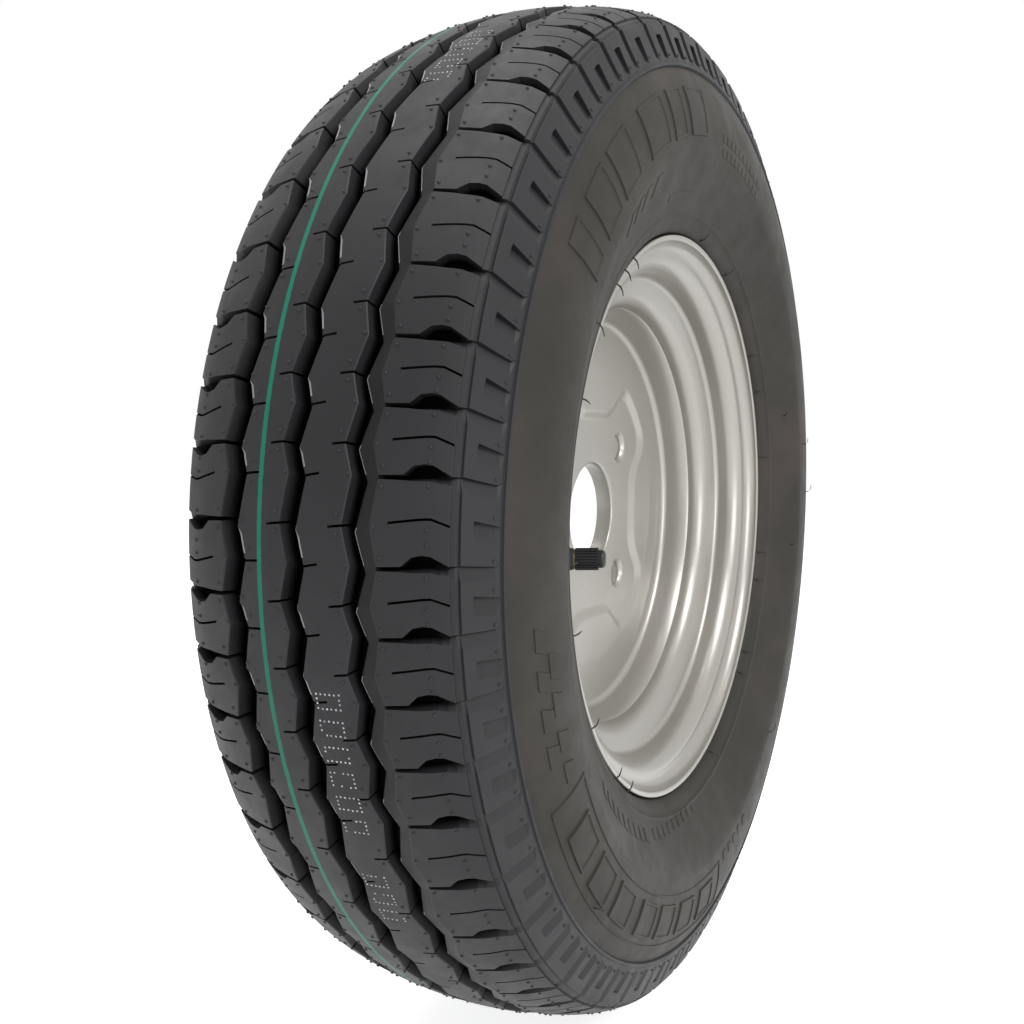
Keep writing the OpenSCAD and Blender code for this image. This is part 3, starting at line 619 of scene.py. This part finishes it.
def dotted():
    """Places of the painted dots: a row of plain dotted frames along the rib."""
    spots = []
    for phi, last in DOT_ROWS:
        while phi + FRAME_END < last:
            for i in range(DOTS_ACROSS):
                s = DOT_FIRST + DOT_STEP * i
                spots += [(s, phi), (s, phi + FRAME_WIDE)]
            spots += [(s, phi + e) for s in (DOT_FIRST, DOT_LAST) for e in FRAME_DOTS]
            phi += FRAME_STEP
    return [(s + RNG.uniform(-DOT_SHIFT, DOT_SHIFT),
             math.pi - math.radians(a + RNG.uniform(-DOT_TURN, DOT_TURN)))
            for s, a in spots if RNG.random() > DOTS_MISSING]


dots = domes("tyre_paint_dots", dotted(), 0.42, 0.05, 6)

# Rim

RIM_SMOOTH = 35
LIP = [(140.6, 52.3), (139.6, 52.42), (138.7, 52.2)]
top_side, under_side = rim_side(0), rim_side(RIM_T)
rim_profile = ([(a, -b) for a, b in top_side[::-1]] + top_side + LIP + under_side[::-1]
               + [(a, -b) for a, b in under_side] + [(a, -b) for a, b in LIP[::-1]])
rim = lathe("rim_skin", rim_profile, 384, RIM_SMOOTH, closed=True)
outward(rim)

# Disc, with lengths in mm from the wheel's axis and middle

DISC_SMOOTH = 30
PAD_TOP, PAD_UNDER = 0.9, -2.6
# The lobed pad: each lobe's end, its side's width and slope there, and the ring around it
LOBE_END, LOBE_HALF, LOBE_SLOPE, RING_R = 54, 19, 1.27, 79
LIFT, LIFT_START, LIFT_RUN = 2.2, 4.4, 6.0
RING_FALL, RING_RUN = -1.1, 17.5
COLLAR_END = 32.5


def smoothstep(x):
    x = np.clip(x, 0, 1)
    return x * x * (3 - 2 * x)


def soft_max(a, b, k):
    h = np.clip(0.5 + 0.5 * (a - b) / k, 0, 1)
    return b + (a - b) * h + k * h * (1 - h)


def disc_lift(r, th):
    """How far the pressed form stands above the hub pad, at a radius and an angle."""
    t = np.mod(th + math.pi / 4, math.pi / 2) - math.pi / 4
    x, y = r * np.cos(t), np.abs(r * np.sin(t))
    side = (LOBE_HALF + LOBE_SLOPE * (x - LOBE_END) - y) / math.hypot(1, LOBE_SLOPE)
    inside = -soft_max(-side, LOBE_END - x, 5.0)
    d = soft_max(inside, r - RING_R, 9.0)
    return LIFT * smoothstep((d + LIFT_START) / LIFT_RUN)


def disc_mesh():
    """The pressed sheet as rings of (radius, outboard), round its section once."""
    th = around(720)
    radii = np.concatenate([np.arange(28.5, 46, 2.5), np.arange(47, 84, 0.75),
                            np.arange(84.5, 98.4, 2.0)])

    def sheet(radii, height):
        return [(r, height + disc_lift(r, th) + RING_FALL * np.clip((r - RING_R) / RING_RUN, 0, 1))
                for r in radii]

    rings = [(27.0, -8.3), (27.0, -0.6)] + arc((28.5, -0.6), 1.5, 165, 105, 4)
    rings += sheet(radii, PAD_TOP)
    rings += arc((100, 6), 4, -94, -4, 11)
    rings += [(104.2, 9), (104.8, 12), (105.6, 14.6), (106.6, 16.6), (107.2, 17.5), (107.5, 17.8)]
    rings += arc((97, 9), 10.5, 0, -82, 11)
    rings += sheet(radii[radii > COLLAR_END][::-1], PAD_UNDER)
    rings += arc((32, -4.6), 2, 90, 180, 5) + [(30, -7.8), (29.5, -8.3)]
    r, w = (np.stack([ring[k] + 0 * th for ring in rings], 1) for k in (0, 1))
    v = wheel_points(r, w, th[:, None] + 0 * r)
    obj = new_object("disc_skin", v, grid_faces(len(th), len(rings), True, True))
    outward(obj)
    return obj


def turned_cutter(profile, steps, place):
    """Solid of revolution on a local z axis, from [radius, height] points, moved by a matrix."""
    r, z = np.array(profile, float).T
    th = around(steps)[:, None]
    v = np.stack([r * np.cos(th), r * np.sin(th), z + 0 * th], -1) * MM
    obj = new_object("cutter", v, grid_faces(steps, len(r), True))
    bm = bmesh.new()
    bm.from_mesh(obj.data)
    bmesh.ops.remove_doubles(bm, verts=bm.verts, dist=1e-7)
    bmesh.ops.recalc_face_normals(bm, faces=bm.faces)
    bm.to_mesh(obj.data)
    bm.free()
    obj.data.transform(place)
    return obj


def wheel_matrix(r, w, theta, lean=0.0):
    """Local axes at a point of the wheel: x radial, z outboard, leaned inwards by lean degrees."""
    radial = Vector((math.cos(theta), 0, math.sin(theta)))
    axis = Vector((0, -1, 0))
    z = (axis * math.cos(math.radians(lean)) - radial * math.sin(math.radians(lean))).normalized()
    x = (radial * math.cos(math.radians(lean)) + axis * math.sin(math.radians(lean))).normalized()
    y = z.cross(x)
    m = Matrix((x, y, z)).transposed().to_4x4()
    m.translation = Vector((r * math.cos(theta), -w, r * math.sin(theta))) * MM
    return m


BOLTS, BOLT_R, BOLT_W = 4, 50, -2.2
BOLT_SEAT = [(0, -3), (6.6, -3), (6.6, 1.0), (6.75, 1.3), (8.45, 3.05), (8.8, 3.2), (9.2, 4.2),
             (0, 4.2)]
VALVE_A, VALVE_R, VALVE_UP, VALVE_LEAN = math.radians(186), 114.5, 7, 17
VALVE_HOLE = [(0, -9), (5.75, -9), (5.75, 7), (0, 7)]

disc = disc_mesh()
for k in range(BOLTS):
    place = wheel_matrix(BOLT_R, BOLT_W, math.radians(45 + 90 * k))
    subtract(disc, turned_cutter(BOLT_SEAT, 64, place))
smooth(disc, DISC_SMOOTH)

valve_w = WELL_HALF + VALVE_UP / math.tan(math.radians(CLIMB))
valve_place = wheel_matrix(VALVE_R, valve_w, VALVE_A, VALVE_LEAN)
subtract(rim, turned_cutter(VALVE_HOLE, 48, valve_place))
smooth(rim, RIM_SMOOTH)

# Materials

GREEN, RUST = (0.001, 0.175, 0.108), (0.075, 0.048, 0.045)
# The painted stripe's distance inboard, its half width and its wobble, in m
STRIPE_Y, STRIPE_HALF, STRIPE_WOBBLE = 0.0139, 0.001, 0.0006


def grey(value):
    return (value,) * 3


def material(name):
    m = bpy.data.materials.new(name)
    m.use_nodes = True
    nt = m.node_tree
    return m, nt, nt.nodes["Principled BSDF"]


def node(nt, kind, **values):
    n = nt.nodes.new(kind)
    for k, v in values.items():
        if k in n.inputs:
            n.inputs[k].default_value = v
        else:
            setattr(n, k, v)
    return n


def ramp(nt, source, stops):
    n = nt.nodes.new("ShaderNodeValToRGB")
    cr = n.color_ramp
    while len(cr.elements) < len(stops):
        cr.elements.new(0.5)
    for e, (pos, col) in zip(cr.elements, stops):
        e.position = pos
        e.color = (*col, 1)
    nt.links.new(source, n.inputs[0])
    return n.outputs[0]


def maths(nt, op, a, b=None, clamp=False):
    n = nt.nodes.new("ShaderNodeMath")
    n.operation = op
    n.use_clamp = clamp
    for i, x in enumerate((a, b)):
        if x is None:
            continue
        if isinstance(x, (int, float)):
            n.inputs[i].default_value = x
        else:
            nt.links.new(x, n.inputs[i])
    return n.outputs[0]


def mix(nt, fac, a, colour):
    """Colour a, or the given colour where the factor is 1."""
    n = nt.nodes.new("ShaderNodeMix")
    n.data_type = "RGBA"
    nt.links.new(fac, n.inputs[0])
    nt.links.new(a, n.inputs[6])
    n.inputs[7].default_value = (*colour, 1)
    return n.outputs[2]


def noise(nt, vec, scale, detail=4, rough=0.55):
    n = node(nt, "ShaderNodeTexNoise", Scale=scale, Detail=detail, Roughness=rough)
    nt.links.new(vec, n.inputs["Vector"])
    return n.outputs[0]


def bump(nt, height, strength, distance, out):
    n = node(nt, "ShaderNodeBump", Strength=strength, Distance=distance)
    nt.links.new(height, n.inputs["Height"])
    nt.links.new(n.outputs[0], out)


def obj_coords(nt):
    return nt.nodes.new("ShaderNodeTexCoord").outputs["Object"]


def green_stripe(nt, co, deep, base):
    """Paints the stripe over the base colour where the tread isn't deep."""
    sep = nt.nodes.new("ShaderNodeSeparateXYZ")
    nt.links.new(co, sep.inputs[0])
    wobble = maths(nt, "SUBTRACT", noise(nt, co, 300, 2), 0.5)
    wobble = maths(nt, "MULTIPLY", wobble, STRIPE_WOBBLE)
    y = maths(nt, "ADD", sep.outputs[1], wobble)
    off = maths(nt, "ABSOLUTE", maths(nt, "SUBTRACT", y, STRIPE_Y))
    on = maths(nt, "LESS_THAN", off, STRIPE_HALF)
    shallow = maths(nt, "LESS_THAN", deep, 0.2)
    return mix(nt, maths(nt, "MULTIPLY", on, shallow), base, GREEN)


def rubber(name, surface, rough, shade_colour=None, rust=0.0, shine=0.34):
    """Rubber; with a shade colour it takes painted shade from the deep attribute and carries the
    stripe.
    """
    m, nt, bsdf = material(name)
    co = obj_coords(nt)
    dull, bright = tuple(c * 0.84 for c in surface), tuple(c * 1.16 for c in surface)
    base = ramp(nt, noise(nt, co, 18, 5), [(0.3, dull), (0.7, bright)])
    if rust:
        warm = ramp(nt, noise(nt, co, 9, 4, 0.6), [(0.52, grey(0)), (0.72, grey(rust))])
        base = mix(nt, warm, base, RUST)
    bsdf.inputs["Specular IOR Level"].default_value = shine
    if shade_colour:
        deep = node(nt, "ShaderNodeAttribute", attribute_name="deep").outputs["Fac"]
        # Painted shade: deep in the grooves the colour goes to the shade colour and the shine is
        # taken away
        base = mix(nt, ramp(nt, deep, [(0.45, grey(0)), (0.85, grey(1))]), base, shade_colour)
        gloss = ramp(nt, deep, [(0.45, grey(shine)), (0.85, grey(0.02))])
        nt.links.new(gloss, bsdf.inputs["Specular IOR Level"])
        base = green_stripe(nt, co, deep, base)
    nt.links.new(base, bsdf.inputs["Base Color"])
    r = ramp(nt, noise(nt, co, 60, 6, 0.7), [(0.3, grey(rough - 0.08)), (0.7, grey(rough + 0.1))])
    nt.links.new(r, bsdf.inputs["Roughness"])
    bump(nt, noise(nt, co, 900, 3), 0.14, 0.0003, bsdf.inputs["Normal"])
    return m


def paint(name, colour):
    m, nt, bsdf = material(name)
    co = obj_coords(nt)
    dull, bright = tuple(c * 0.9 for c in colour), tuple(c * 1.1 for c in colour)
    base = ramp(nt, noise(nt, co, 2600, 2), [(0.3, dull), (0.7, bright)])
    nt.links.new(base, bsdf.inputs["Base Color"])
    r = ramp(nt, noise(nt, co, 14, 3), [(0.3, grey(0.3)), (0.7, grey(0.38))])
    nt.links.new(r, bsdf.inputs["Roughness"])
    for socket, value in (("Metallic", 0.55), ("Coat Weight", 0.35), ("Coat Roughness", 0.12)):
        bsdf.inputs[socket].default_value = value
    bump(nt, noise(nt, co, 420, 2), 0.05, 0.0004, bsdf.inputs["Normal"])
    return m


def speckled(name, scale, detail, stops, rough, metallic=0):
    """A plain material whose colour changes with a fine noise."""
    m, nt, bsdf = material(name)
    colour = ramp(nt, noise(nt, obj_coords(nt), scale, detail), stops)
    nt.links.new(colour, bsdf.inputs["Base Color"])
    bsdf.inputs["Metallic"].default_value = metallic
    bsdf.inputs["Roughness"].default_value = rough
    return m


# The tread's painted shade in its grooves is near black
TREAD = rubber("tyre_tread_rubber", (0.0145, 0.0142, 0.0160), 0.5, shade_colour=grey(0.002))
# A painted highlight: pale rubber on the narrow groove edges that run outboard
EDGE_HIGHLIGHT = rubber("tyre_edge_painted_highlight", (0.5, 0.5, 0.51), 0.4)
# Painted shade: the outboard groove's bevel is a darker, duller copy of the tread rubber
BEVEL_SHADE = rubber("tyre_bevel_painted_shade", (0.010, 0.0095, 0.009), 0.42, shine=0.2)
WALL = rubber("tyre_wall_rubber", (0.032, 0.0292, 0.0245), 0.54, rust=0.35, shine=0.22)
STUB = rubber("tyre_stub_rubber", grey(0.012), 0.5)
BLACK = rubber("valve_black", (0.018, 0.018, 0.019), 0.42)
PAINT = paint("wheel_silver", (0.37, 0.353, 0.320))
DOTS = speckled("tyre_dot_paint", 700, 2, [(0.35, grey(0.3)), (0.6, grey(0.72))], 0.6)
BRASS = speckled("turned_brass", 900, 3, [(0.3, (0.55, 0.38, 0.16)), (0.7, (0.75, 0.58, 0.28))],
                 0.28, metallic=1)


def dress(obj, mat, body, node_names):
    obj.data.materials.clear()
    obj.data.materials.append(mat)
    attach(obj, body)
    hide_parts(*node_names)


for o in (tread, band_out, band_in):
    dress(o, TREAD, "wheel", ["tyre"])
for o in (sidewall_out, sidewall_in, marks):
    dress(o, WALL, "wheel", ["tyre"])
dress(pips, TREAD, "wheel", ["tyre"])
dress(stubs, STUB, "wheel", ["tyre"])
dress(dots, DOTS, "wheel", ["tyre"])
dress(rim, PAINT, "wheel", ["rim"])
dress(disc, PAINT, "wheel", ["disc"])
# The tread's second material is the painted highlight on groove edges, its third the painted shade
# on the bevel
tread.data.materials.append(EDGE_HIGHLIGHT)
tread.data.materials.append(BEVEL_SHADE)
tread.data.polygons.foreach_set("material_index", painted_light_faces(MIDDLE, tread_th))
tread.data.update()
NODE_LOOKS = {
    "disc_welds": PAINT, "valve_body": BLACK, "valve_stem": BRASS, "valve_core_barrel": BRASS,
    "valve_core_gasket": BLACK, "valve_core_pin": BRASS, "valve_core_spring": BRASS,
    "valve_core_seal": BLACK, "valve_cap": BLACK, "cap_seal": BLACK}
for name, mat in NODE_LOOKS.items():
    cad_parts[name].data.materials.clear()
    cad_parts[name].data.materials.append(mat)

# Floor, light, camera

FLOOR_Z, FLOOR_HALF = -0.2465, 6


def seen_white(nt):
    """1 for camera rays, glossy rays and rays through a surface, which see plain white."""
    path = nt.nodes.new("ShaderNodeLightPath")
    seen = maths(nt, "ADD", path.outputs["Is Camera Ray"], path.outputs["Is Glossy Ray"], True)
    return maths(nt, "ADD", seen, path.outputs["Is Transmission Ray"], True)


def mix_shaders(nt, fac, a, b, end):
    """Sends shader a, or b where the factor is 1, to an output."""
    mixer = nt.nodes.new("ShaderNodeMixShader")
    for i, x in enumerate((fac, a, b)):
        nt.links.new(x, mixer.inputs[i])
    nt.links.new(mixer.outputs[0], end)


corners = [(x * FLOOR_HALF, y * FLOOR_HALF, FLOOR_Z)
           for x, y in ((-1, -1), (1, -1), (1, 1), (-1, 1))]
floor = new_object("floor", corners, [(0, 1, 2, 3)])
floor_white, nt, bsdf = material("floor_white")
nt.nodes.remove(bsdf)
diffuse = node(nt, "ShaderNodeBsdfDiffuse", Color=(0.85, 0.85, 0.85, 1))
glow = node(nt, "ShaderNodeEmission", Color=(1, 1, 1, 1), Strength=0.8)
lit = nt.nodes.new("ShaderNodeAddShader")
nt.links.new(diffuse.outputs[0], lit.inputs[0])
nt.links.new(glow.outputs[0], lit.inputs[1])
surface = nt.nodes["Material Output"].inputs[0]
mix_shaders(nt, seen_white(nt), diffuse.outputs[0], lit.outputs[0], surface)
floor.data.materials.append(floor_white)

world = bpy.data.worlds.new("studio")
bpy.context.scene.world = world
world.use_nodes = True
nt = world.node_tree
dim = nt.nodes["Background"]
dim.inputs["Color"].default_value = (0.93, 0.96, 1.0, 1)
dim.inputs["Strength"].default_value = 0.34
white = node(nt, "ShaderNodeBackground", Color=(1, 1, 1, 1), Strength=1.0)
surface = nt.nodes["World Output"].inputs[0]
mix_shaders(nt, seen_white(nt), dim.outputs[0], white.outputs[0], surface)


def area(name, place, target, size, power):
    light = bpy.data.lights.new(name, "AREA")
    light.shape = "RECTANGLE"
    light.size, light.size_y = size
    light.energy = power
    o = bpy.data.objects.new(name, light)
    bpy.context.scene.collection.objects.link(o)
    o.location = place
    o.rotation_euler = (Vector(target) - Vector(place)).to_track_quat("-Z", "Y").to_euler()


area("key", (-0.9, -1.9, 1.8), (0, 0, 0.05), (1.6, 1.2), 40)
area("low", (-0.9, -2.1, 0.1), (0, 0, -0.05), (1.2, 0.8), 14)
area("top", (-0.3, 0.2, 2.6), (0, 0, 0), (1.6, 1.6), 26)

# The fitted camera: its place around the wheel, its turns off the centre and its lens in pixels
CAMERA_DISTANCE, CAMERA_AZIMUTH, CAMERA_ELEVATION = 586.248263 * MM, -65.8727609, 3.83247011
CAMERA_TURN_Y, CAMERA_TURN_X, CAMERA_TURN_Z = -2.12119524, 0.650518345, -0.715475690
FOCAL, CENTRE_X, CENTRE_Y, PICTURE, SENSOR = 1095.00916, 546.14428, 525.853724, 1024, 36
# The fit was made about a point this far inboard of the frame's origin
FIT_ORIGIN_Y = 2.2 * MM


def rot(axis, deg):
    return Matrix.Rotation(math.radians(deg), 3, axis)


def camera():
    az, el = math.radians(CAMERA_AZIMUTH), math.radians(CAMERA_ELEVATION)
    place = CAMERA_DISTANCE * Vector((math.sin(az) * math.cos(el), -math.cos(az) * math.cos(el),
                                      math.sin(el)))
    forward = -place.normalized()
    right = forward.cross(Vector((0, 0, 1))).normalized()
    up = right.cross(forward)
    base = Matrix((right, up, -forward))
    r = rot("Z", CAMERA_TURN_Z) @ rot("X", CAMERA_TURN_X) @ rot("Y", CAMERA_TURN_Y) @ base
    data = bpy.data.cameras.new("photo_view")
    data.sensor_width = SENSOR
    data.lens = FOCAL * SENSOR / PICTURE
    data.shift_x = (PICTURE / 2 - CENTRE_X) / PICTURE
    data.shift_y = (CENTRE_Y - PICTURE / 2) / PICTURE
    data.clip_start = 0.01
    cam = bpy.data.objects.new("photo_view", data)
    bpy.context.scene.collection.objects.link(cam)
    place += Vector((0, FIT_ORIGIN_Y, 0))
    cam.matrix_world = Matrix.Translation(place) @ r.transposed().to_4x4()
    bpy.context.scene.camera = cam


camera()
bpy.context.scene.view_settings.view_transform = "Standard"
